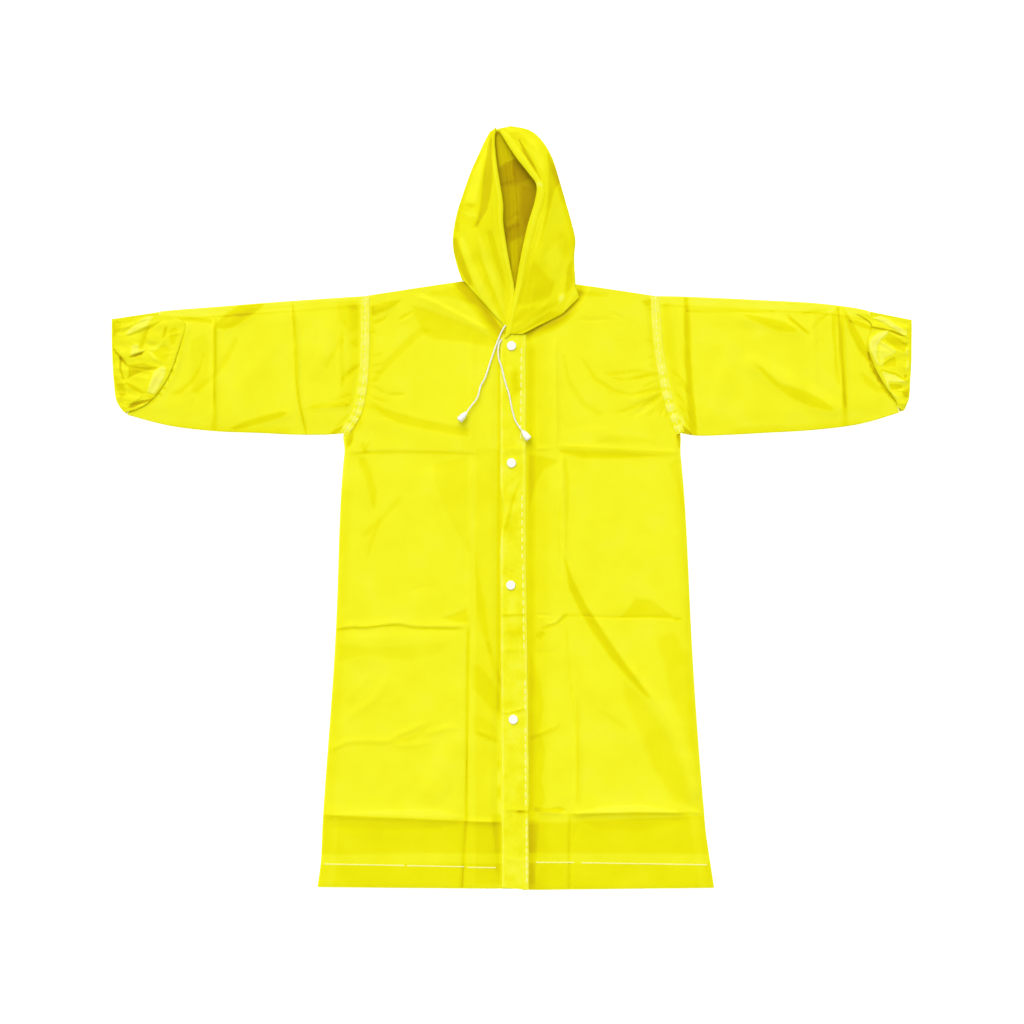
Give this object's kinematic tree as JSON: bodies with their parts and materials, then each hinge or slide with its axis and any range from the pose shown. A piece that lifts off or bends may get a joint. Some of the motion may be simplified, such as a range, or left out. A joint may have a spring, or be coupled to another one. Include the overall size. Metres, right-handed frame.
{
  "type": "hooded raincoat",
  "caption": "Child's hooded raincoat of soft plastic sheet, snapped shut and laid flat on its back, with elastic cuffs and a drawcord.",
  "frame": {"origin": "on the surface the coat lies on, under the middle of its whole outline", "axes": "+X across the sleeves, to the onlooker's right; +Y up the coat to the hood; +Z out of its front"},
  "size_m": [1.121, 1.07, 0.0163],
  "materials": {
    "sheet": "soft satin plastic sheet, slightly see-through",
    "doubled_sheet": "the same sheet folded double",
    "weld": "the same sheet, paler where it is welded",
    "snap": "white moulded plastic",
    "cord": "white braided cord"
  },
  "bodies": {
    "root": {"back_panel": "sheet", "front_left": "sheet", "front_right": "sheet", "sleeve_left": "sheet", "sleeve_right": "sheet", "cuff_left": "sheet", "cuff_right": "sheet", "hood_left": "sheet", "hood_right": "sheet", "placket": "doubled_sheet", "armhole_strip_left": "weld", "armhole_strip_right": "weld", "snap_1": "snap", "snap_2": "snap", "snap_3": "snap", "snap_4": "snap", "cord_left": "cord", "cord_right": "cord", "cord_end_left": "snap", "cord_end_right": "snap"}
  },
  "joints": []
}
